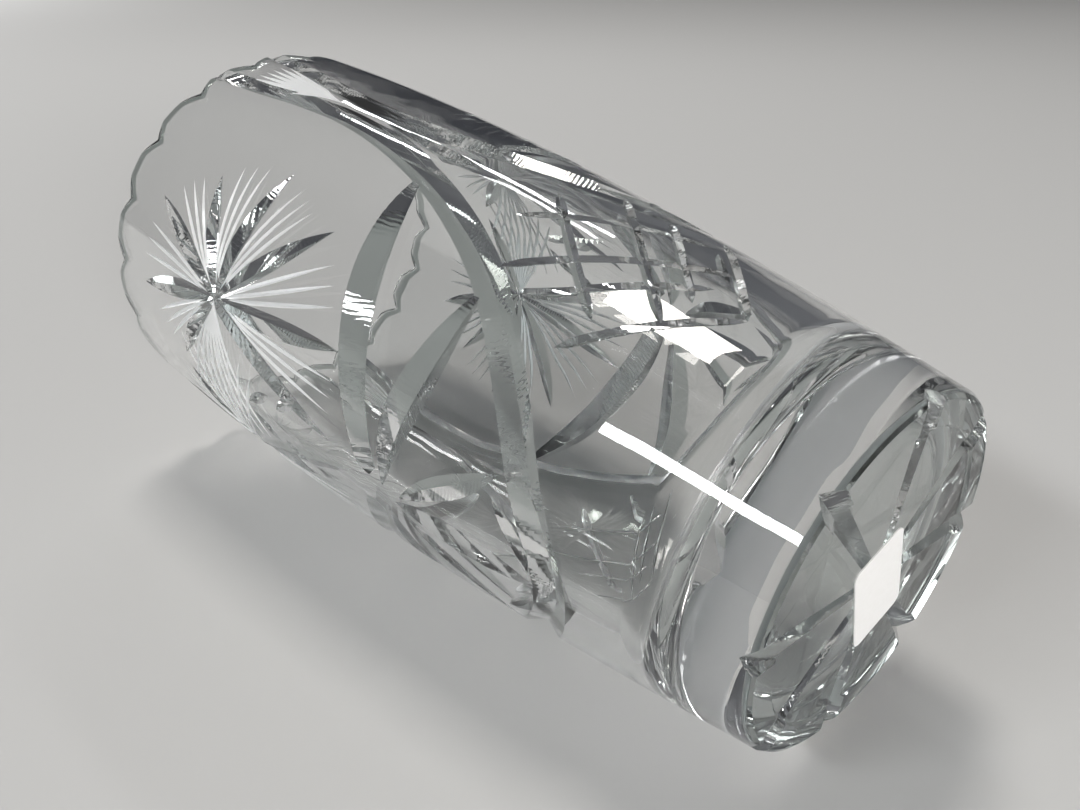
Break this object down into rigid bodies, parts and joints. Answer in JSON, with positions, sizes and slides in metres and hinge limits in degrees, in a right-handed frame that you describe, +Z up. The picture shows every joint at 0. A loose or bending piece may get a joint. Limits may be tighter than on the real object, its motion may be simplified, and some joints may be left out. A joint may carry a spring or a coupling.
{
  "type": "cut crystal vase",
  "caption": "Tall flared cut-crystal vase with a scalloped rim, arched panels of leaf and pinwheel cutting, a thick solid base and a blank paper label underneath.",
  "frame": {"origin": "centre of the foot, on the plane it stands on", "axes": "+Z up along the vase's axis of symmetry; -Y faces out through the middle of one cut panel"},
  "size_m": [0.1348, 0.1348, 0.255],
  "materials": {
    "crystal": "polished cut lead crystal, clear",
    "label_paper": "matt coated paper sticker, blank"
  },
  "bodies": {
    "root": {"crystal_body": "crystal", "price_label": "label_paper"}
  },
  "joints": []
}
